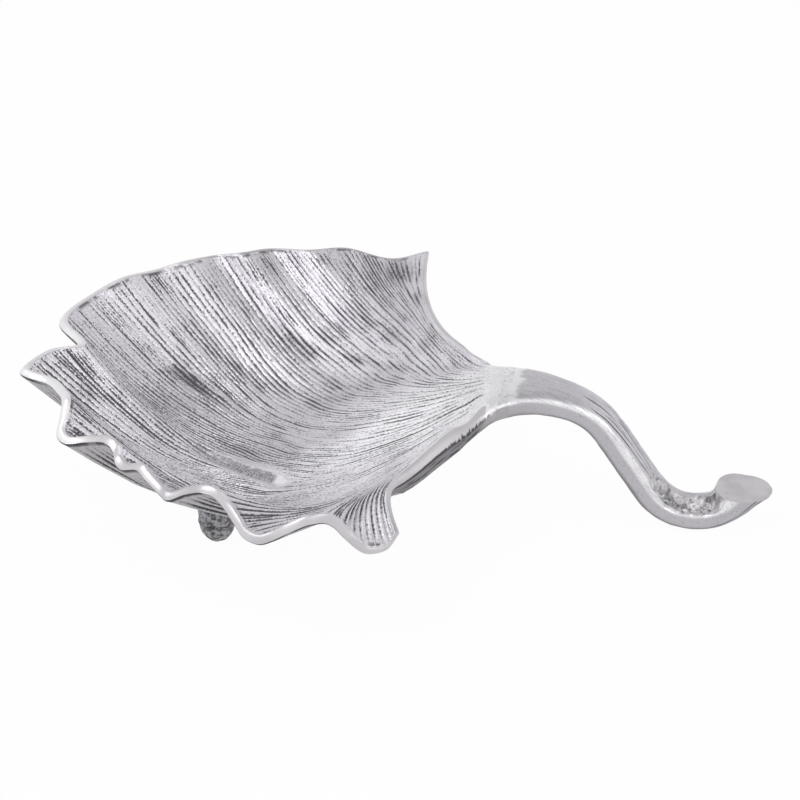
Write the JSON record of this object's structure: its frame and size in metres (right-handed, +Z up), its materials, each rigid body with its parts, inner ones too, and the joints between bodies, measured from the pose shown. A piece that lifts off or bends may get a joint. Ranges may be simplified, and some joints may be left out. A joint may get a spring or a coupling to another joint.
{
  "type": "leaf dish",
  "caption": "Cast aluminium serving dish shaped as a ruffled, veined leaf, with a curling stem for a handle and domed feet under the bowl.",
  "frame": {"origin": "centre of the dish's footprint, on the table", "axes": "+X from the leaf's front lobes towards the tip of the stem, +Y towards the far side tip, +Z up"},
  "size_m": [0.3616, 0.2762, 0.078],
  "materials": {
    "leaf": "bright cast, dark in the vein grooves, polished on the rim and side edges",
    "stem": "polished, sand-cast texture left in the hollow of the curl",
    "weld": "dressed and polished level",
    "foot": "as sand cast, rubbed bright at the sides"
  },
  "bodies": {
    "root": {"leaf_bowl": "leaf", "stem_handle": "stem", "neck_weld": "weld", "foot_near": "foot", "foot_near_braze": "weld", "foot_far": "foot", "foot_far_braze": "weld"}
  },
  "joints": []
}
